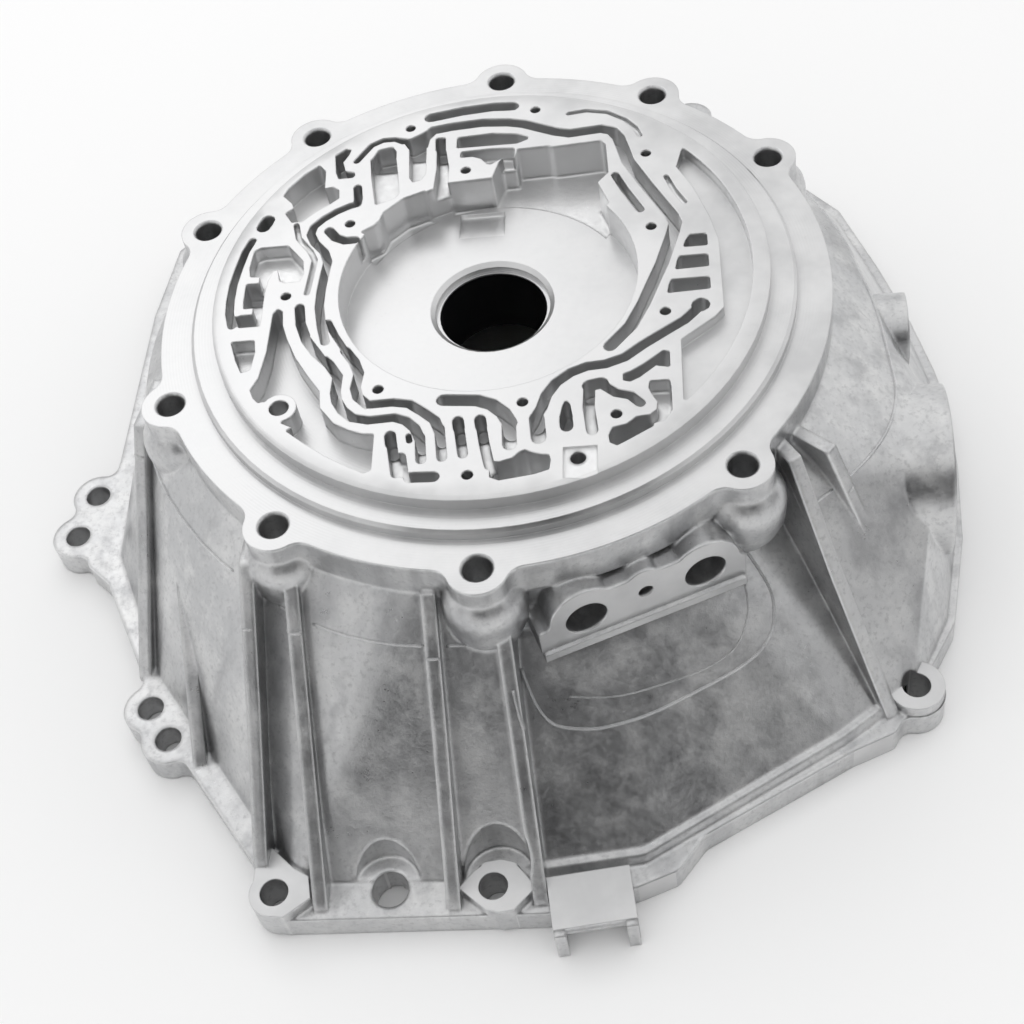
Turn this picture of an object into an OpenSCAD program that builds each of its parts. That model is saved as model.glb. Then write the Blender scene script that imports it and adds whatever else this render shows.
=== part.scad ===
// Torque converter housing: one aluminium casting.
// Millimetres. Z is the bore axis and points to the case side, Z = 0 is the case flange face,
// and the straight foot edge of the engine flange runs along X on the -Y side.

/* [Case flange] */
// radius of the bolt circle
bolt_circle_r = 150; // [149:0.5:151]
// radius of each threaded case bolt hole
bolt_hole_r = 6.2; // [5:0.1:7]
// chamfer at each case bolt hole
bolt_chamfer = 1; // [0.5:0.1:1.5]
// depth of each case bolt hole
bolt_hole_depth = 22; // [16:1:24]
// radius of the flange between its ears
flange_r = 151; // [149:0.5:152]
// thickness of the flange
flange_h = 18; // [16:0.5:20]
// radius of each ear about its bolt hole
ear_r = 13; // [12:0.5:14]
// thickness of each ear
ear_h = 10; // [9:0.5:12]
// fillet between an ear and the flange edge
ear_fillet = 9; // [6:1:11]
// angles of the bolt holes about the bore
bolt_angles = [90, 60, 31.5, -44.5, -90, -125, -159.5, 157.5, 127.5];

/* [Stepped pilot] */
// radius of the pilot step that centres the case
pilot_r = 136; // [135:0.5:137]
// height of the pilot step above the flange face
pilot_h = 5; // [4:0.5:6]
// radius of the channel plate
plate_r = 124.5; // [124:0.5:126]
// height of the channel plate above the flange face
plate_h = 12; // [11:0.5:13]
// chamfer on the pilot step
pilot_chamfer = 1.5; // [0.5:0.25:2]
// chamfer on the rim of the channel plate
plate_chamfer = 2; // [0.5:0.25:2.5]
// radius of the low rim outside the crescent floor
crescent_r = 117; // [115:0.5:118]
// height of the crescent floor above the flange face
crescent_h = 6; // [5.5:0.5:8]

/* [Pump pocket and bore] */
// radius of the machined pump pocket
pocket_r = 67; // [66:0.5:67.5]
// depth of the machined pocket floor below the flange face
pocket_floor = 6; // [5:0.5:7]
// depth of the cast inlet area below the flange face
inlet_floor = 7.5; // [7:0.5:9]
// radius of the bore for the converter hub
bore_r = 24.5; // [24:0.5:25]
// radius of the lead-in step above the bore
lead_r = 26.2; // [26:0.1:27]
// depth of the lead-in step below the pocket floor
lead_depth = 4; // [3:0.5:5]
// chamfer at the mouth of the bore
mouth_chamfer = 1.8; // [1:0.2:2]
// radius of the hub boss on the converter side
hub_boss_r = 38; // [34:1:42]
// depth of the hub boss end below the flange face
hub_end = 44; // [40:1:48]

/* [Channel plate] */
// depth of the main oil channels below the plate face
channel_depth = 12; // [9:0.5:13]
// depth of the shallow pockets below the plate face
shallow_depth = 8; // [6:0.5:9]
// depth of the deep pockets below the plate face
deep_depth = 19; // [16:0.5:20]
// depth of the gasket relief grooves
groove_depth = 3; // [2:0.5:4]
// width of the main ring channel
ring_channel_w = 6; // [5:0.25:6.5]
// width of the S-shaped channels
s_channel_w = 4.6; // [4:0.2:5]
// width of the comb slots
comb_w = 4.4; // [4:0.2:4.6]
// radius of the small threaded holes in the plate
screw_r = 2.5; // [2:0.1:3]
// depth of the small threaded holes
screw_depth = 14; // [10:1:16]
// radius of the corners in the channel drawing
corner_r = 1; // [0.5:0.25:1.25]
// turn of the channel drawing about the bore
drawing_turn = 0.6; // [0:0.2:1.2]

/* [Bell] */
// depth of the engine flange face below the case flange face
bell_h = 132; // [130:1:134]
// thickness of the engine flange
foot_h = 14; // [12:0.5:15]
// thickness of the bell wall at the foot
wall_t = 6.5; // [6:0.5:8]
// radius of the bell at its shoulder
shoulder_r = 168; // [166:0.5:170]
// depth of the shoulder below the flange face
shoulder_z = 32; // [30:1:34]
// radius of the wall behind the port pad
valley_r = 148; // [146:0.5:150]
// shift of the shoulder towards the back
shoulder_shift = 5; // [3:1:7]
// depth of the bell ceiling below the flange face
ceiling_z = 22; // [21:0.5:24]
// width of each outer rib
rib_w = 6; // [5:0.5:7]

/* [Engine flange] */
// radius of the engine bolt holes
engine_hole_r = 6.25; // [6:0.05:6.5]
// radius of the locating hole
locating_hole_r = 8; // [7.5:0.1:8.5]
// radius of the lugs round the engine bolt holes
lug_r = 13; // [12:0.5:14]
// height of the raised lugs above the engine flange
lug_rise = 6; // [5:0.5:7]
// distance between the two outer bolt holes of the straight foot
foot_pitch = 94; // [93:0.5:95]
// middle of those two holes along X
foot_mid_x = -53; // [-54:0.5:-52]
// distance of those two holes from the bore axis along Y
foot_row_y = 233; // [232:0.5:234]

/* [Port pad] */
// direction that the pad faces
pad_angle = -67.5; // [-69:0.5:-66]
// distance of the pad face from the bore axis
pad_reach = 158; // [157:0.5:160]
// width of the pad face
pad_w = 92; // [88:1:94]
// offset of the pad along its face
pad_shift = 3.5; // [2:0.5:5]
// top of the pad below the flange face
pad_top = 15; // [13:0.5:16]
// bottom of the pad below the flange face
pad_bottom = 46; // [44:0.5:48]
// radius of the two ports
port_r = 9.2; // [8.5:0.1:9.5]
// distance between the two ports
port_pitch = 53; // [52:0.5:54]
// radius of the threaded hole between the ports
pad_screw_r = 3.3; // [3:0.1:3.5]

/* [Hidden] */
$fn = 64;
eps = 0.02;
face_z = -bell_h;
valley_z = -pad_bottom - 4;
foot_z = foot_h - bell_h;
wall_top_r = pilot_r + 12;
// how far cutting shapes reach past what they cut
far = 200;
past = 30;
// round pad on the right side: start, radius and length
round_pad_at = [160, -54, -75];
round_pad_r = 38.5;
round_pad_h = 38;
// seat beside the foot: middle, width and leg width
seat_at = [35.2, -239.5];
seat_w = 35.2;
seat_leg_w = 4.8;
seat_gap = seat_w - 2 * seat_leg_w;
cast_grey = [0.74, 0.75, 0.76];

// wall outline at the foot, anticlockwise from the back left
wall_foot = [
    [-196, 150], [-202, 110], [-203, 40], [-202, -46], [-170, -120], [-104, -212], [-92, -228],
    [10, -230], [58, -224], [82, -208], [147, -170], [176, -148], [196, -108], [205, -62],
    [207, -20], [204, 40], [196, 76], [184, 115], [168, 160], [140, 190], [70, 212],
    [-70, 212], [-140, 200], [-178, 178]
];
// engine flange outline without its lugs
foot_outline = [
    [-203, 172], [-210, 120], [-212, 16], [-218, -50], [-205, -62], [-179, -116], [-168, -140],
    [-152, -163], [-112, -217], [-108, -238], [-98, -243.5], [16, -243.5], [54, -233],
    [71, -226], [83, -210], [148, -172.5], [167, -164], [192, -121], [199, -108], [208, -62],
    [211, -20], [211, 20], [207, 44], [199, 78], [187, 117], [170, 164], [142, 197],
    [71, 220], [-71, 220], [-143, 208], [-186, 190]
];
// upper left lug pair, lower left lug pair
left_lugs = [[-220, -6], [-226, -31.5]];
low_lugs = [[-171.5, -135], [-160.5, -152]];
foot_a = [foot_mid_x - foot_pitch / 2, -foot_row_y];
foot_b = [foot_mid_x + foot_pitch / 2, -foot_row_y];
locating = [-51, -230.5];
right_lug = [177.5, -144];
engine_holes = [left_lugs[0], left_lugs[1], low_lugs[0], low_lugs[1], foot_a, foot_b, right_lug];
// outer ribs: plan start and end, depth at the start and at the end
ribs = [
    [[-99, -118], [-107, -222], -13.4, foot_z + lug_rise],
    [[-82, -118], [-80, -241], -13.4, foot_z],
    [[-22, -138], [-23, -242], -13.4, foot_z],
    [[5, -138], [14, -241], -13.4, foot_z],
    [[-160, -30], [-177, -118], -22.6, foot_z],
    [[-149, -30], [-143, -168], -21, foot_z],
    [[121, -84], [167, -157], -10, foot_z],
    [[133, -80], [188, -124], -13.4, foot_z]
];

// a run of straight channel lengths joined by round bends
module run(points, w) {
    for (i = [0 : len(points) - 2]) {
        a = points[i];
        b = points[i + 1];
        d = b - a;
        translate(a)
            rotate(atan2(d[1], d[0]))
                translate([0, -w / 2])
                    square([norm(d), w]);
    }
    for (p = points)
        translate(p)
            circle(d = w, $fn = 10);
}

// rounds outer and inner corners of a drawing
module softened(r) {
    offset(r = r, $fn = 12)
        offset(delta = -2 * r)
            offset(delta = r)
                children();
}

module shallow_drawing() {
    // far floor beside the ring channel
    polygon([[-15, 85.5], [0, 86], [11, 85], [11, 78], [5, 78], [2, 76], [0, 74.5], [-2, 75],
             [-5, 79], [-9, 81], [-15, 81]]);
    polygon([[-40, 92], [-38.7, 70], [-37, 66.5], [-33, 68], [-31, 72], [-31.5, 92]]);
    polygon([[-58.5, 86], [-57, 72], [-54, 53], [-45, 57], [-43, 60], [-44.5, 75], [-46, 86]]);
    polygon([[-26.5, 88], [-26, 75], [-27, 59.5], [-20.3, 59.5], [-20, 75], [-22, 88]]);
    // floor of the E-shaped pocket
    polygon([[-109, 29], [-106, 31], [-93, 31], [-90, 27], [-85, 20], [-84, 12], [-85.5, 7],
             [-92, 6.5], [-95, 8], [-96.5, 15], [-98.5, 15], [-100.5, 8], [-101, 0], [-101, -17],
             [-103, -19.5], [-111, -19.5], [-112.5, -13], [-111, -11.5], [-105.5, -11.5],
             [-105.5, -8], [-110, -8], [-110.5, -3], [-110.5, 8], [-104.5, 8], [-104.5, 11.5],
             [-109, 12], [-110, 18]]);
    polygon([[-113.5, -27.5], [-102.5, -27.5], [-101.5, -35], [-102.5, -45], [-106.5, -47],
             [-110, -39]]);
    // comb slots
    run([[-38, -88], [-34.5, -109]], comb_w);
    run([[-33, -100], [-31.5, -109]], comb_w);
    run([[-25.5, -90], [-24.5, -102.5]], comb_w);
    run([[-17.5, -86], [-15.8, -102]], comb_w);
    run([[-9.8, -83], [-7.2, -101]], comb_w);
    run([[-0.5, -83], [1.5, -96], [4, -108]], comb_w);
    run([[11.5, -86], [12, -97.5]], 6);
    run([[23, -84], [24, -95]], 6.4);
    run([[35.2, -86], [35.5, -90]], 5.6);
    run([[45, -70], [44.6, -80], [46, -93]], 5);
    run([[-30.4, -89], [-29.8, -92]], 2.6);
    polygon([[70, -68], [78.5, -68], [79, -72], [79, -85], [76, -90], [70, -92], [70, -86],
             [72.5, -84], [73, -80], [70.5, -75], [69.5, -72]]);
    // slot inside the ring channel
    run([[58, 60], [62, 50], [69, 35.5]], 4);
}

module channel_drawing() {
    // ring channel from the far left finger round to the near end
    run([[-65, 85], [-58.5, 95.5], [-53, 98.5], [-47, 98.5], [-43, 96]], 3.4);
    polygon([[-45, 99.5], [-40, 90], [-31, 90], [-30, 96], [-26, 101.5], [-28, 106], [-35, 101],
             [-40, 98]]);
    run([[-29, 102.5], [-20, 104], [-5, 105], [8, 103.5], [15, 101.5], [22, 98], [30, 94],
         [37, 91.7], [45, 92.4], [52, 93], [57, 91], [60, 86], [62, 78], [64, 69], [72, 52],
         [78, 40], [83, 30], [84.3, 25], [83, 19], [81, 12], [77.5, 0], [73, -12], [69, -23],
         [63, -36], [54, -47]], ring_channel_w);
    // far arc slot and the pocket inside it
    run([[-30.5, 112], [-15, 114.8], [0, 116], [9.5, 115.2]], 6.4);
    polygon([[-17, 88], [-17, 96], [0, 97], [12, 95], [17.5, 92], [17, 90], [12, 87.7]]);
    polygon([[-27.5, 97], [-22.5, 97], [-22, 87], [-27, 87]]);
    polygon([[-55, 92], [-48, 93.5], [-46, 90], [-45.7, 84], [-58.5, 84]]);
    // left pockets
    polygon([[-83, 85], [-79.5, 80], [-79, 68], [-75, 68.5], [-72, 66], [-71.5, 60], [-75, 57],
             [-82, 52], [-88, 46], [-93, 46], [-97, 53], [-93, 56], [-94, 59], [-99, 65],
             [-97, 70], [-90, 79]]);
    polygon([[-76, 91], [-71, 95], [-68, 94], [-69, 90], [-71.5, 85], [-70, 79], [-65.5, 77.5],
             [-65, 75], [-66, 73.5], [-73, 73.5], [-74.5, 78]]);
    run([[-63.2, 66.5], [-62.3, 58.5], [-62.5, 55], [-66, 54], [-72, 51], [-78, 46.5],
         [-82, 42], [-83, 37], [-80.5, 31], [-75.5, 24.5], [-73.5, 18], [-74.3, 10], [-75, 0],
         [-75, -10], [-73, -22], [-70.5, -32]], 4.2);
    run([[-74.5, 38.5], [-71, 33.5], [-66.5, 31], [-62, 31]], 5);
    run([[-110.5, 36], [-113, 29], [-115, 18], [-116.3, 8], [-116.5, -2], [-116, -10],
         [-114, -18]], 4);
    polygon([[-110.5, 8], [-104.5, 8], [-101, 2.5], [-101, 1], [-110.5, 1]]);
    polygon([[-112.5, -12], [-105.5, -11.5], [-101, -15], [-101, -19.5], [-111, -19.5]]);
    // wide pocket round the ring boss
    difference() {
        polygon([[-94, -9], [-91.5, -11], [-90.5, -20], [-88, -28], [-83, -40], [-76, -52],
                 [-70.5, -60.5], [-69.5, -70], [-63, -79], [-56, -83.5], [-50, -86],
                 [-45, -86.5], [-45, -106], [-48, -107.5], [-55, -103.5], [-65, -97],
                 [-75, -89], [-83, -82], [-99.5, -62], [-101.5, -57], [-98.5, -50],
                 [-96.5, -35], [-96, -12]]);
        translate([-87.5, -68.5])
            circle(r = 7.6, $fn = 24);
        polygon([[-87, -76.5], [-81, -80], [-90, -84], [-104, -66], [-95, -64.5]]);
    }
    // S-shaped channels
    run([[-84, -9.5], [-82.5, -20], [-79, -30], [-74, -38], [-67.5, -45.5], [-63.2, -53],
         [-63.5, -62], [-62.5, -67], [-59.5, -72.5], [-55, -77], [-48, -79], [-37, -78.5],
         [-32, -80.7], [-28, -85], [-25.5, -91]], s_channel_w);
    run([[-70, -20], [-66, -29], [-61, -38]], 3);
    run([[-61, -38], [-56.5, -45], [-54, -52], [-55, -60], [-53.5, -65.5], [-49, -70.3],
         [-38, -70], [-31, -71.5], [-25, -76.5], [-19.7, -81.5], [-17.3, -88]], s_channel_w);
    // starts of the comb slots and the near pockets
    run([[-38.2, -88], [-37.5, -93]], comb_w + 0.6);
    run([[-28.5, -111.3], [-19, -111.8]], 5.6);
    run([[-9.9, -82.6], [-9.3, -87]], comb_w + 0.6);
    run([[-0.6, -82.6], [0, -87]], comb_w + 0.6);
    run([[-16.5, -70.7], [-2, -72.3], [4, -75], [9, -80], [12, -86]], 6.4);
    run([[93, -27], [93.4, -26.6]], 8);
    run([[92, -28.5], [86, -35], [78, -40.5], [68, -47.5], [60, -54], [52, -57], [44, -57.6],
         [37, -60.5], [31, -65.5], [27, -72], [25, -79], [22.5, -84]], 5);
    polygon([[35, -74.5], [37, -78], [38.2, -86], [32.2, -86], [33.5, -79]]);
    run([[45, -68.5], [50, -67.5]], 6.4);
    run([[51, -69], [56, -73.5], [62, -75.5], [66, -80]], 4.6);
    polygon([[59, -63], [62, -62], [68, -58], [76, -51.5], [79, -52], [79, -61.5], [73, -60],
             [66, -66], [62, -68], [59, -67]]);
    // three slots on the right
    polygon([[90, 17], [98, 17], [98, 9], [87, 9], [88, 13]]);
    polygon([[85, 4], [98, 4], [98, -4], [83, -4.5], [84, 1]]);
    polygon([[81, -10], [98, -10], [98, -17.7], [79, -18.5], [80, -13]]);
}

module deep_drawing() {
    polygon([[4, -105.5], [8, -106], [13, -104.5], [16, -101.5], [18.5, -100.5], [21, -102],
             [25, -103.5], [28.4, -104], [29, -107], [28.5, -112], [22, -114], [8, -116],
             [4, -114]]);
    polygon([[69, -86.5], [72.5, -86], [71, -93], [62, -98.5], [56, -102], [53, -100],
             [52.5, -96], [54, -92], [60, -90.5], [64, -87]]);
    run([[-106.2, 44.6], [-104.6, 49]], 7);
}

module groove_drawing() {
    run([[36.5, 106], [45, 107], [55, 104.5], [63, 98.5], [68, 92], [70, 86]], 2.6);
    run([[81.3, 56], [84.5, 47], [89, 38]], 2.6);
    run([[-90.5, 44], [-88.5, 35], [-82.3, 26], [-79.7, 20], [-80.6, 8], [-81.5, -1]], 2.8);
}

screws = [[-40, 105.5], [20.5, 111], [72.5, 73], [-12, 72], [-65, 42], [-91, -2], [-45, -62],
          [17, -75], [73.5, 24], [78, -29], [56, -85], [-5, -112]];

module crescent_drawing() {
    difference() {
        polygon([[90, 90], [89.5, 76], [86, 62], [93, 48], [99.5, 28], [103, 12], [103, -29],
                 [99, -34], [84, -46], [83.5, -96], [140, -100], [140, 90]]);
        difference() {
            circle(r = 200, $fn = 24);
            circle(r = crescent_r, $fn = 96);
        }
    }
}

module inlet_drawing() {
    polygon([[-60, 36], [-52, 41], [-50, 48], [-41, 56.5], [-31, 60.5], [-28, 58], [-20, 58],
             [-20, 67], [0, 67], [3, 75], [5, 78], [11, 78], [12, 84], [27, 84.5], [29, 83.5],
             [52, 85], [54, 82], [55, 62], [50, 56], [55, 42], [40, 20], [0, 40], [-40, 20]]);
}

// block between the two recesses on the far side of the pump pocket
module inlet_block_drawing() {
    polygon([[-21, 90], [-20, 64.5], [0.5, 65.5], [3.5, 76], [3.5, 90]]);
}

module pilot() {
    rotate_extrude($fn = 128)
        polygon([[0, -3], [pilot_r, -3],
                 [pilot_r, pilot_h - pilot_chamfer], [pilot_r - pilot_chamfer, pilot_h],
                 [plate_r, pilot_h], [plate_r, plate_h - plate_chamfer / 2],
                 [plate_r - plate_chamfer, plate_h], [0, plate_h]]);
}

module flange_outline() {
    softened(0.01)
        offset(r = -ear_fillet, $fn = 48)
            offset(delta = ear_fillet) {
                circle(r = flange_r, $fn = 128);
                for (a = bolt_angles)
                    rotate(a)
                        translate([bolt_circle_r, 0])
                            circle(r = ear_r, $fn = 40);
            }
}

// column under an ear, widening to a shoulder that runs into the bell wall
module ear_column() {
    rotate_extrude($fn = 32)
        polygon([[0, -ear_h + 4], [ear_r - 4, -ear_h + 4], [ear_r + 1.5, -ear_h - 2],
                 [ear_r + 3.6, -ear_h - 5], [ear_r + 4.6, -ear_h - 9], [ear_r + 4.8, -ear_h - 14],
                 [ear_r + 4, -ear_h - 22], [ear_r + 1, -ear_h - 30], [ear_r - 4, -ear_h - 38],
                 [0, -ear_h - 44]]);
}

// plan of the low wall behind and below the port pad, between two of the ribs
module valley_plan() {
    polygon([[8, -60], [10, -160], [13, -260], [260, -260], [166, -158], [118, -86], [90, -60]]);
}

// bell wall without the part behind the port pad
module high_wall(top_z) {
    difference() {
        hull() {
            translate([0, 0, top_z])
                cylinder(r = wall_top_r, h = 1, $fn = 72);
            translate([0, shoulder_shift, -shoulder_z])
                scale([1, 1 - shoulder_shift / shoulder_r, 1])
                    cylinder(r = shoulder_r, h = 1, $fn = 72);
            translate([0, 0, foot_z - 3])
                linear_extrude(1)
                    polygon(wall_foot);
            // bulge that carries the round pad
            translate(round_pad_at - [10, 0, 1])
                rotate([0, 90, 0])
                    cylinder(r = round_pad_r - 6.5, h = round_pad_h + 1, $fn = 72);
        }
        translate([0, 0, foot_z + 4])
            linear_extrude(far)
                valley_plan();
    }
}

// low wall behind the port pad
module low_wall(top_z) {
    hull() {
        translate([0, 0, valley_z])
            linear_extrude(0.4)
                intersection() {
                    circle(r = valley_r, $fn = 96);
                    offset(delta = 5)
                        valley_plan();
                }
        translate([0, 0, foot_z - 3])
            linear_extrude(1)
                intersection() {
                    offset(delta = -0.5)
                        polygon(wall_foot);
                    offset(delta = 5)
                        valley_plan();
                }
    }
    translate([0, 0, valley_z - 2])
        linear_extrude(top_z - valley_z + 2)
            offset(delta = -0.3)
                intersection() {
                    circle(r = valley_r, $fn = 96);
                    offset(delta = 8)
                        valley_plan();
                }
}

module bell_outer() {
    high_wall(-flange_h + 3);
    low_wall(-flange_h + 3);
}

// plan of the cavity: round, with flats on the pad side
module cavity_plan(r, flat) {
    intersection() {
        translate([0, shoulder_shift])
            circle(r = r, $fn = 72);
        intersection_for(a = [-27, 0, 27])
            rotate(pad_angle + a)
                translate([-far, -far])
                    square([far + flat, 2 * far]);
    }
}

module bell_cavity() {
    hull() {
        translate([0, 0, -ceiling_z - 1])
            linear_extrude(1)
                cavity_plan(118, valley_r - 38);
        translate([0, 0, -shoulder_z - 2])
            linear_extrude(1)
                cavity_plan(shoulder_r - 15, valley_r - 27);
        translate([0, 0, valley_z])
            linear_extrude(1)
                cavity_plan(shoulder_r - 9, valley_r - 10);
        translate([0, 0, foot_z - 3])
            linear_extrude(1)
                offset(delta = -wall_t - 0.5)
                    polygon(wall_foot);
    }
    translate([0, 0, face_z - 1])
        linear_extrude(foot_h - 1)
            offset(delta = 0.7 - wall_t)
                polygon(wall_foot);
}

// upright rib plate whose crest runs straight from the case flange to the engine flange
module rib(r) {
    d = r[1] - r[0];
    l = norm(d);
    translate([r[0][0], r[0][1], 0])
        rotate([90, 0, atan2(d[1], d[0])])
            translate([0, 0, -rib_w / 2])
                linear_extrude(rib_w)
                    polygon([[-14, r[2]], [14, r[2]], [l * 0.5, (r[2] + r[3]) / 2 + 7],
                             [l - 3, r[3] + 4], [l, r[3] - 1], [l, r[3] - 4], [-14, r[3] - 4]]);
}

module lug(p, top, r) {
    translate([p[0], p[1], face_z + 2])
        cylinder(r = r, h = top - face_z - 2, $fn = 48);
}

// six-sided raised boss at the second foot bolt
module foot_boss(grow) {
    translate([foot_b[0], foot_b[1], face_z + 2])
        linear_extrude(foot_h + lug_rise - 2)
            offset(delta = grow)
                polygon([[-14.5, -0.5], [-9, 6.5], [-4, 10.5], [3, 11.7], [9, 10], [13.5, 5],
                         [18, -1], [13, -6.5], [9, -11], [3, -12], [-2.5, -10.5], [-7.5, -6.5]]);
}

module engine_flange() {
    translate([0, 0, face_z])
        linear_extrude(foot_h)
            offset(r = -6, $fn = 20)
                offset(delta = 6) {
                    offset(r = 4, $fn = 16)
                        offset(delta = -4)
                            polygon(foot_outline);
                    for (p = [left_lugs[0], left_lugs[1], low_lugs[0], low_lugs[1], right_lug])
                        translate(p)
                            circle(r = lug_r, $fn = 32);
                }
    lug(foot_a, foot_z + lug_rise, lug_r - 2);
    foot_boss(0);
    lug(right_lug, foot_z + lug_rise, lug_r - 0.6);
    // web that carries the front left lug back to the first rib
    translate([foot_a[0], foot_a[1], face_z + 2])
        linear_extrude(foot_h + lug_rise - 2)
            polygon([[-10, -4], [-9.5, 14], [-3.2, 20.8], [7.4, 11], [14.2, 7], [16, -3],
                     [5, -11.6], [-4, -10]]);
}

module pad_outline() {
    offset(r = -4, $fn = 16)
        offset(delta = 4) {
            translate([-pad_w / 2, -pad_bottom])
                square([pad_w, 13]);
            for (x = [-1, 1])
                translate([x * port_pitch / 2 + 1.5, -pad_top - 16])
                    circle(r = 15.6, $fn = 40);
            translate([-25, -pad_bottom])
                square([54, pad_bottom - pad_top - 5]);
            translate([1.5, -pad_top - 11])
                circle(r = 9, $fn = 32);
        }
}

module port_pad() {
    rotate(pad_angle + 90)
        translate([pad_shift, -pad_reach, 0]) {
            // pad and the rounded port bosses that run in under the flange
            rotate([90, 0, 0])
                translate([0, 0, -44])
                    linear_extrude(44)
                        pad_outline();
            // lip along the lower edge
            translate([-pad_w / 2 + 0.5, -2.5, -pad_bottom - 3])
                cube([pad_w - 1, 20, 4]);
        }
}

// closed ends of the ports on the bell side
module port_cores() {
    rotate(pad_angle + 90)
        translate([pad_shift + 1.5, -pad_reach + 10, -33])
            for (x = [-1, 1])
                translate([x * port_pitch / 2, 0, 0])
                    rotate([-90, 0, 0])
                        cylinder(r = 13.5, h = 32);
}

module port_holes() {
    rotate(pad_angle + 90)
        translate([pad_shift + 1.5, -pad_reach, -33]) {
            for (x = [-1, 1])
                translate([x * port_pitch / 2, -1, 0])
                    rotate([-90, 0, 0])
                        cylinder(r = port_r, h = 27);
            translate([0, -1, 2.5])
                rotate([-90, 0, 0])
                    cylinder(r = pad_screw_r, h = 18, $fn = 32);
        }
}

module side_bosses() {
    // small boss behind the flange between two far ears
    rotate(52.7)
        translate([153, 0, -46])
            cylinder(r = 10.5, h = 37);
    // round boss on the right wall
    translate([130, 15, -57])
        rotate([0, 90, 0])
            cylinder(r = 18, h = 57);
    // round pad that faces right
    translate(round_pad_at)
        rotate([0, 90, 0])
            cylinder(r = round_pad_r, h = round_pad_h, $fn = 96);
}

// rectangular seat on two legs with a round bar between them
module foot_seat() {
    translate([seat_at[0], seat_at[1], 0])
        rotate(7.7) {
            difference() {
                translate([-seat_w / 2, -12, face_z])
                    cube([seat_w, 24, foot_h + lug_rise]);
                translate([-seat_gap / 2, -13, face_z - 1])
                    cube([seat_gap, 8, foot_h + lug_rise - 3]);
            }
            for (x = [-seat_w / 2 + 0.2, seat_w / 2 - seat_leg_w - 0.2])
                translate([x, -15, face_z])
                    cube([seat_leg_w, 8, foot_h + lug_rise - 1]);
            translate([-seat_gap / 2 - 0.7, -9, face_z + 13])
                rotate([0, 90, 0])
                    cylinder(r = 2.2, h = seat_gap + 1.4, $fn = 32);
        }
}

module outer_form() {
    bell_outer();
    translate([0, 0, -flange_h])
        linear_extrude(flange_h)
            flange_outline();
    pilot();
    for (a = bolt_angles)
        rotate(a)
            translate([bolt_circle_r, 0, 0])
                ear_column();
    engine_flange();
    for (r = ribs)
        rib(r);
    port_pad();
    side_bosses();
}

// recesses in the wall that make room for the foot bolts
module foot_recesses() {
    translate([locating[0] - 1, locating[1] + 1, foot_z + 1])
        cylinder(r = 14.5, h = 60);
    translate([foot_b[0] + 2, foot_b[1] + 6, foot_z])
        cylinder(r = 15, h = 60);
}

// inner bulge behind both recesses, from the engine face up into the wall
module inner_boss() {
    hull()
        for (x = [locating[0], foot_b[0]]) {
            translate([x, -foot_row_y + 31, face_z + 1])
                cylinder(r = 24, h = foot_h, $fn = 36);
            translate([x, -foot_row_y + 53, -80])
                cylinder(r = 8, h = 1, $fn = 36);
        }
}

module hub_boss() {
    translate([0, 0, -hub_end])
        cylinder(r = hub_boss_r, h = hub_end - 10);
}

module plate_cuts() {
    rotate(drawing_turn) {
        translate([0, 0, plate_h - shallow_depth])
            linear_extrude(shallow_depth + 1)
                softened(corner_r)
                    shallow_drawing();
        translate([0, 0, plate_h - channel_depth])
            linear_extrude(channel_depth + 1)
                softened(corner_r)
                    channel_drawing();
        translate([0, 0, plate_h - deep_depth])
            linear_extrude(deep_depth + 1)
                softened(corner_r)
                    deep_drawing();
        translate([0, 0, plate_h - groove_depth])
            linear_extrude(groove_depth + 1)
                groove_drawing();
        translate([0, 0, crescent_h])
            linear_extrude(plate_h)
                softened(corner_r)
                    crescent_drawing();
        translate([0, 0, -inlet_floor])
            linear_extrude(plate_h + inlet_floor + 1)
                difference() {
                    softened(corner_r)
                        inlet_drawing();
                    circle(r = pocket_r - 3);
                    inlet_block_drawing();
                }
        // shallow sloping recess in the pocket floor in front of the block
        translate([-16.5, 45, -pocket_floor])
            rotate([-7, 0, 0])
                cube([21, 16, 8]);
        for (p = screws)
            translate([p[0], p[1], plate_h - screw_depth])
                cylinder(r = screw_r, h = screw_depth + 1, $fn = 24);
        translate([-87.5, -68.5, 0])
            cylinder(r = 4.4, h = plate_h + 1, $fn = 32);
        translate([40, -106, plate_h - deep_depth])
            cylinder(r = 3.3, h = 60, $fn = 24);
        translate([34, -117, plate_h - 1.2])
            cube([14, 16, 3]);
    }
    difference() {
        translate([0, 0, -pocket_floor])
            cylinder(r = pocket_r, h = plate_h + pocket_floor + 1, $fn = 128);
        rotate(drawing_turn)
            translate([0, 0, -pocket_floor - 5])
                linear_extrude(40)
                    inlet_block_drawing();
    }
    translate([0, 0, -hub_end - 1])
        cylinder(r = bore_r, h = hub_end);
    translate([0, 0, -pocket_floor - lead_depth])
        cylinder(r = lead_r, h = lead_depth + 1);
    translate([0, 0, -pocket_floor - mouth_chamfer])
        cylinder(r1 = lead_r, r2 = lead_r + mouth_chamfer * 1.2, h = mouth_chamfer + 0.01);
}

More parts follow.
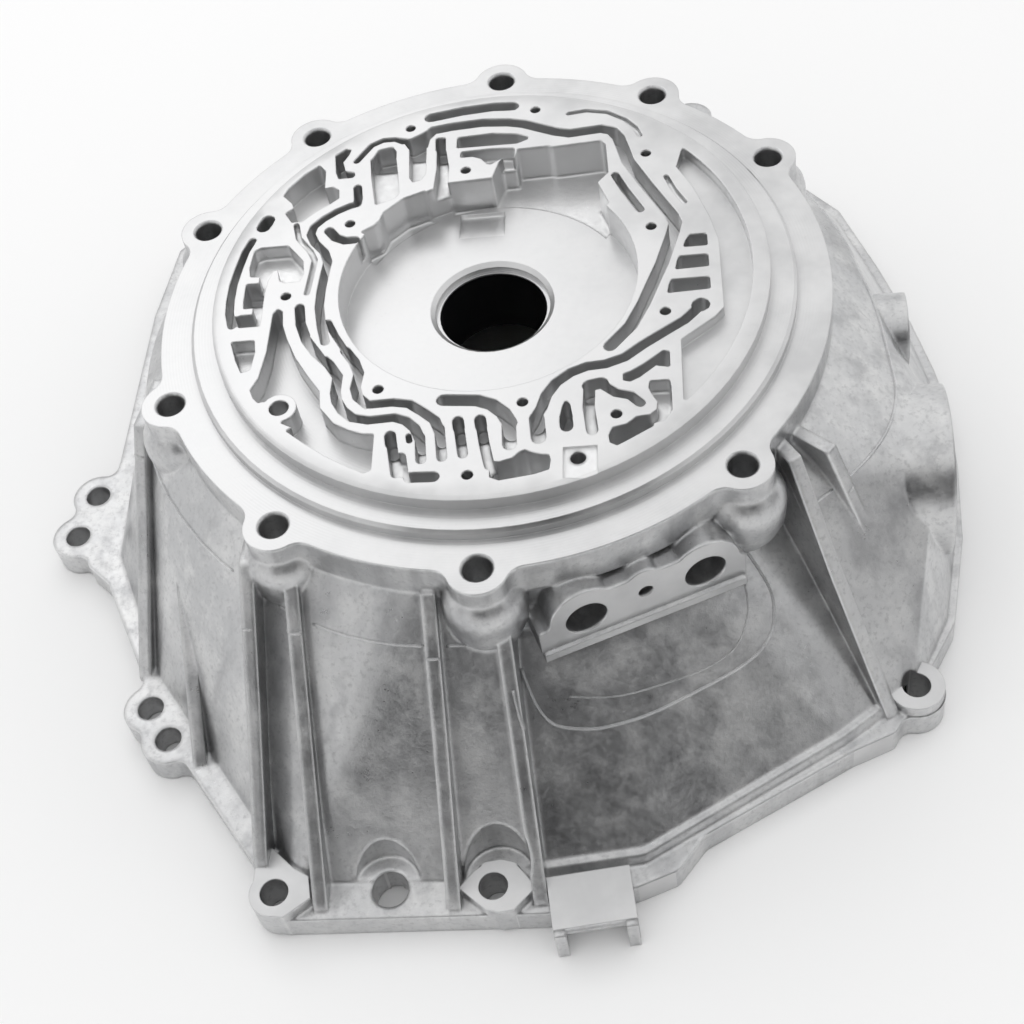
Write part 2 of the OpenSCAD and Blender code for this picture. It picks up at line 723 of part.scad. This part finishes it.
module bolt_holes() {
    for (a = bolt_angles)
        rotate(a)
            translate([bolt_circle_r, 0, 0]) {
                translate([0, 0, -bolt_hole_depth])
                    cylinder(r = bolt_hole_r, h = bolt_hole_depth + 1, $fn = 32);
                translate([0, 0, -bolt_chamfer])
                    cylinder(r1 = bolt_hole_r, r2 = bolt_hole_r + bolt_chamfer,
                             h = bolt_chamfer + 0.01, $fn = 32);
            }
    for (p = engine_holes)
        translate([p[0], p[1], face_z - 1])
            cylinder(r = engine_hole_r, h = foot_h + past, $fn = 32);
    translate([locating[0], locating[1], face_z - 1])
        cylinder(r = locating_hole_r, h = foot_h + past, $fn = 32);
}

module housing() {
    color(cast_grey)
        difference() {
            union() {
                difference() {
                    outer_form();
                    bell_cavity();
                }
                inner_boss();
                hub_boss();
                port_cores();
                foot_seat();
            }
            difference() {
                foot_recesses();
                foot_boss(0.5);
            }
            plate_cuts();
            bolt_holes();
            port_holes();
        }
}

housing();
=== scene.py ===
import math

import bpy
from mathutils import Matrix, Vector
from mathutils.bvhtree import BVHTree


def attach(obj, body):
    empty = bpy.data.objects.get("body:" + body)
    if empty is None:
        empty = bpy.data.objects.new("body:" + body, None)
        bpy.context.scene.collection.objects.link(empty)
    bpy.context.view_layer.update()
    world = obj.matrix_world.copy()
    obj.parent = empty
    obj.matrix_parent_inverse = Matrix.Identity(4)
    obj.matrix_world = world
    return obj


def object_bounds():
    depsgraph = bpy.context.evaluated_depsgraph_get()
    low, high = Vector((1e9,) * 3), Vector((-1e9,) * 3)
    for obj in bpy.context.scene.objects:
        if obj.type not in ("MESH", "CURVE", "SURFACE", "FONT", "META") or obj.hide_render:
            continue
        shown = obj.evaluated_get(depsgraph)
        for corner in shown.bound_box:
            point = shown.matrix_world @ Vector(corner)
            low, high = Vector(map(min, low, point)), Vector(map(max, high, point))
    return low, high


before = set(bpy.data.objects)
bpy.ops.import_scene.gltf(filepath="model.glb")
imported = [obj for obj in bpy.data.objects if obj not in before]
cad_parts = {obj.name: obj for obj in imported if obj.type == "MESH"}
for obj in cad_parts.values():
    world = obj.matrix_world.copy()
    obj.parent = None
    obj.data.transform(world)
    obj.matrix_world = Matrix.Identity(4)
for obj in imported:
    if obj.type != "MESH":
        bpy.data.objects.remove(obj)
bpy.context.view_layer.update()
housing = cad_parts["housing"]
scene = bpy.context.scene

# Levels and radii of the casting in metres, as the source has them.
PLATE_FACE = 0.012
CRESCENT_FLOOR = 0.006
PILOT_FACE = 0.005
CASE_FACE = 0.0
POCKET_FLOOR = -0.006
TOP_LEVELS = (PLATE_FACE, CRESCENT_FLOOR, PILOT_FACE, CASE_FACE, POCKET_FLOOR)
LUG_TOP = -0.112
UNDERSIDE = -0.132
RIM_R = 0.1225
PLATE_BOTTOM = -0.02
BORE_R = 0.0285
NECK_R = 0.0252
NECK_TOP = -0.011
PAD_NORMAL = (0.382683, -0.92388, 0)
PAD_REACH = 0.1578

# How close a face lies to a level, and how straight it looks one way, to count as cut.
HALF_BAND = 3e-4
STRAIGHT = 0.999

# Colours of the metal.
SKIN_DULL = (0.5, 0.504, 0.511)
SKIN_BRIGHT = (0.64, 0.642, 0.645)
SKIN_PATCH = (0.76, 0.76, 0.755)
SKIN_FLOW = (0.33, 0.332, 0.342)
SKIN_PITS = (0.36, 0.362, 0.37)
# Painted light: the skin inside the plate is lighter to lift the shade in its deep channels.
SKIN_PLATE_PAINTED_LIGHT = (0.74, 0.742, 0.745)
# Partly edge wear and partly painted highlight on the skin's open edges.
SKIN_WEAR_AND_HIGHLIGHT = (0.86, 0.86, 0.865)
FACE_DULL = (0.56, 0.562, 0.566)
FACE_BRIGHT = (0.7, 0.7, 0.702)
FACE_PITS = (0.5, 0.5, 0.51)
# Painted shade: near black inside the deep bore.
DEEP_BORE_PAINTED_SHADE = (0.07, 0.07, 0.075)
# How dark the painted shade in the corners gets.
CORNER_SHADE = 0.9


class Tree:
    """Short way to write shader nodes."""

    def __init__(self, tree):
        self.t = tree
        tree.nodes.clear()

    def put(self, socket, value):
        """Link a socket to another one, or give it a plain value."""
        if isinstance(value, bpy.types.NodeSocket):
            self.t.links.new(value, socket)
            return
        if socket.type == "RGBA" and len(value) == 3:
            value = (*value, 1)
        socket.default_value = value

    def add(self, kind, sockets, **props):
        """A new node with its properties, and its inputs by name or number."""
        n = self.t.nodes.new(kind)
        for k, v in props.items():
            setattr(n, k, v)
        for k, v in sockets.items():
            self.put(n.inputs[k], v)
        return n

    def math(self, op, *values):
        return self.add("ShaderNodeMath", dict(enumerate(values)), operation=op).outputs[0]

    def chain(self, op, values):
        v = values[0]
        for other in values[1:]:
            v = self.math(op, v, other)
        return v

    def all_of(self, *values):
        return self.chain("MULTIPLY", values)

    def any_of(self, *values):
        return self.chain("MAXIMUM", values)

    def over(self, a, b):
        return self.math("GREATER_THAN", a, b)

    def under(self, a, b):
        return self.math("LESS_THAN", a, b)

    def near(self, value, level):
        """1 where the value is at the level."""
        d = self.math("ABSOLUTE", self.math("SUBTRACT", value, level))
        return self.under(d, HALF_BAND)

    def ramp(self, value, lo, hi, to_lo=0.0, to_hi=1.0):
        sockets = {"Value": value, "From Min": lo, "From Max": hi, "To Min": to_lo, "To Max": to_hi}
        n = self.add("ShaderNodeMapRange", sockets, clamp=True, interpolation_type="SMOOTHSTEP")
        return n.outputs[0]

    def mix(self, f, a, b):
        """The colour a where f is 0, and b where it is 1."""
        return self.add("ShaderNodeMix", {"Factor": f, 6: a, 7: b}, data_type="RGBA").outputs[2]

    def blend(self, f, a, b):
        """The number a where f is 0, and b where it is 1."""
        return self.add("ShaderNodeMix", {"Factor": f, 2: a, 3: b}, data_type="FLOAT").outputs[0]

    def shade(self, colour, amount):
        """The colour times a grey amount."""
        n = self.add("ShaderNodeVectorMath", {0: colour, "Scale": amount}, operation="SCALE")
        return n.outputs[0]

    def dot(self, a, b):
        n = self.add("ShaderNodeVectorMath", {0: a, 1: b}, operation="DOT_PRODUCT")
        return n.outputs["Value"]

    def noise(self, vec, scale, detail, rough):
        sockets = {"Vector": vec, "Scale": scale, "Detail": detail, "Roughness": rough}
        return self.add("ShaderNodeTexNoise", sockets).outputs["Fac"]

    def squash(self, vec, scale):
        """The position stretched, for marks that run one way."""
        return self.add("ShaderNodeMapping", {"Vector": vec, "Scale": scale}).outputs[0]

    def xyz(self, vec):
        return self.add("ShaderNodeSeparateXYZ", {0: vec}).outputs


def machined(t, pos, normal):
    """Masks: all faces that were cut, the turned ones, the deep bore for painted shade, the inside
    of the plate for painted light.
    """
    x, y, z = t.xyz(pos)
    nz = t.xyz(normal)[2]
    r = t.math("SQRT", t.math("ADD", t.math("MULTIPLY", x, x), t.math("MULTIPLY", y, y)))
    upward = t.over(nz, STRAIGHT)
    tops = t.all_of(upward, t.any_of(*[t.near(z, level) for level in TOP_LEVELS]))
    rim = t.all_of(t.over(z, 1e-4), t.over(r, RIM_R))
    bore = t.under(r, BORE_R)
    faces_out = t.over(t.dot(normal, PAD_NORMAL), STRAIGHT)
    pad = t.all_of(faces_out, t.over(t.dot(pos, PAD_NORMAL), PAD_REACH))
    lugs = t.all_of(upward, t.near(z, LUG_TOP))
    below = t.all_of(t.under(nz, -STRAIGHT), t.near(z, UNDERSIDE))
    cut = t.any_of(tops, rim, bore, pad, lugs, below)
    turned = t.any_of(rim, t.all_of(upward, t.near(z, CASE_FACE)))
    deep = t.all_of(t.under(r, NECK_R), t.under(z, NECK_TOP))
    plate = t.all_of(t.under(r, RIM_R), t.over(z, PLATE_BOTTOM))
    return cut, turned, deep, plate


def alloy():
    """Cast aluminium, rough where it left the mould and bright where it was cut."""
    m = bpy.data.materials.new("cast_aluminium_look")
    m.use_nodes = True
    t = Tree(m.node_tree)
    pos = t.add("ShaderNodeTexCoord", {}).outputs["Object"]
    flat = t.add("ShaderNodeNewGeometry", {}).outputs["True Normal"]
    cut, turned, deep, plate = machined(t, pos, flat)

    # Skin as the mould left it: clouds, flow marks, stains and pits.
    cloud = t.noise(pos, scale=13, detail=6, rough=0.7)
    patch = t.noise(pos, scale=55, detail=6, rough=0.7)
    flow = t.noise(t.squash(pos, (70, 70, 9)), scale=1, detail=4, rough=0.6)
    fine = t.noise(pos, scale=420, detail=3, rough=0.65)
    grain = t.noise(pos, scale=1700, detail=2, rough=0.6)
    skin = t.mix(t.ramp(cloud, 0.32, 0.68), SKIN_DULL, SKIN_BRIGHT)
    skin = t.mix(t.ramp(patch, 0.42, 0.68, to_hi=0.6), skin, SKIN_PATCH)
    skin = t.mix(t.ramp(flow, 0.48, 0.72, to_hi=0.5), skin, SKIN_FLOW)
    skin = t.mix(t.ramp(fine, 0.5, 0.72, to_hi=0.4), skin, SKIN_PITS)
    stained = t.ramp(patch, 0.3, 0.7, to_lo=0.26, to_hi=0.4)
    skin_rough = t.math("ADD", stained, t.ramp(fine, 0.3, 0.7, to_hi=0.08))

    # Cut faces: clean metal with faint wiping marks and tool rings.
    wipe = t.noise(pos, scale=24, detail=4, rough=0.6)
    face = t.mix(t.ramp(wipe, 0.3, 0.7), FACE_DULL, FACE_BRIGHT)
    face = t.mix(t.ramp(fine, 0.6, 0.8, to_hi=0.25), face, FACE_PITS)
    face_rough = t.ramp(wipe, 0.3, 0.7, to_lo=0.28, to_hi=0.42)
    rings = t.add(
        "ShaderNodeTexWave",
        {"Vector": pos, "Scale": 230, "Distortion": 0.5, "Detail": 2},
        wave_type="RINGS", rings_direction="Z", wave_profile="SIN",
    )

    # Painted shade darkens the corners, and the skin's open edges are painted bright, partly as
    # wear and partly as painted highlight.
    corner = t.add("ShaderNodeAmbientOcclusion", {"Distance": 0.014}, samples=8, only_local=True)
    in_air = corner.outputs["AO"]
    cast_edge = t.add("ShaderNodeBevel", {"Radius": 0.003}, samples=8).outputs[0]
    cut_edge = t.add("ShaderNodeBevel", {"Radius": 0.0006}, samples=4).outputs[0]
    edge = t.ramp(t.dot(cast_edge, flat), 0.97, 0.8)
    # Edges open to the air get a painted highlight that also stands for wear.
    wear_and_highlight = t.all_of(edge, t.ramp(in_air, 0.55, 0.9), 0.6)
    corner_shade = t.blend(t.ramp(in_air, 0.25, 0.9), CORNER_SHADE, 1.0)

    # Painted light lifts the inside of the plate, and painted shade darkens the corners.
    skin = t.shade(t.mix(plate, skin, SKIN_PLATE_PAINTED_LIGHT), corner_shade)
    skin = t.mix(wear_and_highlight, skin, SKIN_WEAR_AND_HIGHLIGHT)
    face = t.shade(face, corner_shade)
    # The deep bore is painted near black as painted shade.
    colour = t.mix(deep, t.mix(cut, skin, face), DEEP_BORE_PAINTED_SHADE)

    cast_height = t.math("ADD", t.math("MULTIPLY", fine, 0.36), t.math("MULTIPLY", grain, 0.24))
    ring_height = t.all_of(rings.outputs["Fac"], turned, 0.07)
    bump = t.add("ShaderNodeBump", {
        "Strength": 0.3,
        "Distance": 0.0006,
        "Height": t.blend(cut, cast_height, ring_height),
        "Normal": t.mix(cut, cast_edge, cut_edge),
    })
    bsdf = t.add("ShaderNodeBsdfPrincipled", {
        "Base Color": colour,
        "Roughness": t.blend(cut, skin_rough, face_rough),
        "Metallic": 0.96,
        "Normal": bump.outputs[0],
    })
    t.add("ShaderNodeOutputMaterial", {"Surface": bsdf.outputs[0]})
    return m


ALLOY = alloy()
housing.data.materials.clear()
housing.data.materials.append(ALLOY)


def round_off(obj, degrees):
    """Smooth shading across the shallow creases of the columns and the wall."""
    g = bpy.data.node_groups.new("smooth_shallow_creases", "GeometryNodeTree")
    for way in ("INPUT", "OUTPUT"):
        g.interface.new_socket("Geometry", in_out=way, socket_type="NodeSocketGeometry")
    new, link = g.nodes.new, g.links.new
    start, end = new("NodeGroupInput"), new("NodeGroupOutput")
    merge = new("GeometryNodeMergeByDistance")
    merge.inputs["Distance"].default_value = 1e-7
    angle = new("GeometryNodeInputMeshEdgeAngle")
    shallow = new("FunctionNodeCompare")
    shallow.operation = "LESS_THAN"
    shallow.inputs[1].default_value = math.radians(degrees)
    faces, edges = new("GeometryNodeSetShadeSmooth"), new("GeometryNodeSetShadeSmooth")
    edges.domain = "EDGE"
    link(start.outputs[0], merge.inputs["Geometry"])
    link(merge.outputs["Geometry"], faces.inputs["Geometry"])
    link(faces.outputs["Geometry"], edges.inputs["Geometry"])
    link(angle.outputs["Unsigned Angle"], shallow.inputs[0])
    link(shallow.outputs["Result"], edges.inputs["Shade Smooth"])
    link(edges.outputs["Geometry"], end.inputs[0])
    obj.modifiers.new("smooth", "NODES").node_group = g
    weighted = obj.modifiers.new("weighted", "WEIGHTED_NORMAL")
    weighted.keep_sharp = True
    weighted.weight = 80


round_off(housing, degrees=28)

# Thin lines that the mould left on the wall.
OUTSIDE_R = 0.32
LONGEST_STEP = 0.0035
FACES_DOWN = -0.2
SHORTEST_RUN = 4
SUNK = 4e-4
CREST = 0.25
END_HEIGHT = 0.15
TURN_STEP = 0.5
SPAN_STEPS = 30
PARTING_Z = -0.0345

to_world = housing.matrix_world
wall = BVHTree.FromPolygons(
    [to_world @ v.co for v in housing.data.vertices],
    [tuple(p.vertices) for p in housing.data.polygons],
)


def on_wall(angle, z):
    """The point of the outer wall at an angle and height, and its normal."""
    a = math.radians(angle)
    out = Vector((math.cos(a), math.sin(a), 0))
    hit, normal, _, _ = wall.ray_cast(out * OUTSIDE_R + Vector((0, 0, z)), -out)
    return hit, normal


def runs(path):
    """The wall points along a path, in runs that stop where the wall steps."""
    found, run = [], []
    for angle, z in path:
        hit, normal = on_wall(angle, z)
        seen = hit is not None and normal.z >= FACES_DOWN
        if not seen or (run and (hit - run[-1][0]).length > LONGEST_STEP):
            found.append(run)
            run = []
        if seen:
            run.append((hit, normal))
    found.append(run)
    return [r for r in found if len(r) > SHORTEST_RUN]


def ridge(name, paths, width, height):
    """Low ridges that follow the wall, with a narrow crest and a sunk foot."""
    verts, faces = [], []
    for run in [r for p in paths for r in runs(p)]:
        start = len(verts)
        last = len(run) - 1
        for i, (p, n) in enumerate(run):
            along = (run[min(i + 1, last)][0] - run[max(i - 1, 0)][0]).normalized()
            side = n.cross(along).normalized() * width / 2
            tip = height * (END_HEIGHT if i in (0, last) else 1)
            for across, rise in ((-1, -SUNK), (-CREST, tip), (CREST, tip), (1, -SUNK)):
                verts.append(p + side * across + n * rise)
        for i in range(last):
            a = start + 4 * i
            for j in range(4):
                k = (j + 1) % 4
                faces.append((a + j, a + k, a + 4 + k, a + 4 + j))
        faces.append((start + 3, start + 2, start + 1, start))
        faces.append(tuple(start + 4 * last + j for j in range(4)))
    mesh = bpy.data.meshes.new(name)
    mesh.from_pydata(verts, [], faces)
    mesh.update()
    obj = bpy.data.objects.new(name, mesh)
    scene.collection.objects.link(obj)
    mesh.materials.append(ALLOY)
    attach(obj, "root")


def between(a, b, c, d, u):
    """The smooth curve from b to c at u, with a before it and d after it."""
    square = 2 * a - 5 * b + 4 * c - d
    cube = 3 * b - a - 3 * c + d
    return 0.5 * (2 * b + (c - a) * u + square * u * u + cube * u ** 3)


def spline(points):
    """Smooth path through a few chosen points."""
    path = []
    last = len(points) - 1
    for i in range(last):
        four = [points[max(i - 1, 0)], points[i], points[i + 1], points[min(i + 2, last)]]
        for s in range(SPAN_STEPS):
            path.append(tuple(between(*v, s / SPAN_STEPS) for v in zip(*four)))
    return path + [points[-1]]


def turn(first, last, z):
    """Path round the wall at one height."""
    count = round((last - first) / TURN_STEP)
    return [(first + (last - first) * i / count, z) for i in range(count + 1)]


# Angle about the bore in degrees and height in metres of the two loops below the port pad.
PAD_LOOP = [
    (-87, -0.046), (-86, -0.062), (-83.5, -0.075), (-79, -0.079), (-73, -0.08), (-60, -0.0815),
    (-54, -0.081), (-50, -0.078), (-47.6, -0.073), (-46, -0.066), (-45.6, -0.052), (-45.6, -0.036),
]
PAD_INNER = [
    (-80, -0.0695), (-74, -0.0722), (-68, -0.074), (-61, -0.0765), (-56, -0.076), (-53, -0.0725),
    (-50.6, -0.0675), (-49, -0.061),
]
parting = [
    turn(-164, -133, PARTING_Z),
    turn(-131, -87, PARTING_Z),
    spline(PAD_LOOP),
    turn(-45, 160, PARTING_Z),
]
ridge("parting_line", parting, width=0.002, height=0.0008)
ridge("core_mark", [spline(PAD_INNER)], width=0.0014, height=0.0004)


def plain(name, colour):
    """A matt paint."""
    m = bpy.data.materials.new(name)
    m.use_nodes = True
    b = m.node_tree.nodes["Principled BSDF"]
    b.inputs["Base Color"].default_value = (*colour, 1)
    b.inputs["Roughness"].default_value = 0.9
    return m


def aimed(place, aim):
    """The turn that points an object at a place towards its aim."""
    return (Vector(aim) - Vector(place)).to_track_quat("-Z", "Y").to_euler()


# Floor, white world and one weak lamp.
FLOOR_GAP = 0.0005
lo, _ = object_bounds()
bpy.ops.mesh.primitive_plane_add(size=8, location=(0, 0, lo.z - FLOOR_GAP))
floor = bpy.context.object
floor.name = "floor"
floor.data.materials.append(plain("floor_paint", (0.92, 0.92, 0.92)))

world = bpy.data.worlds.new("studio")
scene.world = world
world.use_nodes = True
w = Tree(world.node_tree)
white = w.add("ShaderNodeBackground", {"Color": (1, 1, 1), "Strength": 1})
w.add("ShaderNodeOutputWorld", {0: white.outputs[0]})

KEY_AT = (-0.45, 0.8, 0.95)
key = bpy.data.lights.new("key", "AREA")
key.shape = "RECTANGLE"
key.size, key.size_y = 0.9, 0.5
key.energy = 1.3
key_obj = bpy.data.objects.new("key", key)
scene.collection.objects.link(key_obj)
key_obj.location = KEY_AT
key_obj.rotation_euler = aimed(KEY_AT, (0, -0.1, -0.03))


def card(name, place, aim, width, height, paint):
    """A card that shows only in reflections, so the walls have something dark to reflect."""
    bpy.ops.mesh.primitive_plane_add(size=1, location=place)
    obj = bpy.context.object
    obj.name = name
    obj.scale = (width, height, 1)
    obj.rotation_euler = aimed(place, aim)
    obj.visible_camera = False
    obj.visible_diffuse = False
    obj.visible_shadow = False
    obj.data.materials.append(paint)


black = plain("card_black", (0.015, 0.015, 0.016))
grey = plain("card_grey", (0.2, 0.2, 0.205))
card("front_card", (0.2, -0.95, 0.42), (0, -0.1, -0.05), 1.7, 0.8, black)
card("left_card", (-1.05, -0.75, 0.3), (0, 0, -0.05), 0.35, 0.5, grey)
card("right_card", (1.0, -0.2, 0.08), (0, 0, -0.05), 0.7, 0.4, grey)

# Camera at the photograph's angle, as fitted to the flange, the pilot, the plate and the bore.
RIGHT = Vector((0.9913037, 0.0287297, -0.1284197))
UP = Vector((0.0556527, 0.7927841, 0.6069565))
AHEAD = Vector((-0.1192467, 0.6088251, -0.7842909))
EYE = Vector((0.097745, -0.554341, 0.555641))
cam = bpy.data.cameras.new("photo_camera")
cam.sensor_width = 36
cam.lens = 61.5234
cam.clip_start = 0.01
cam_obj = bpy.data.objects.new("photo_camera", cam)
scene.collection.objects.link(cam_obj)
look = Matrix((RIGHT, UP, -AHEAD)).transposed().to_4x4()
look.translation = EYE
cam_obj.matrix_world = look
scene.camera = cam_obj
scene.view_settings.view_transform = "Standard"
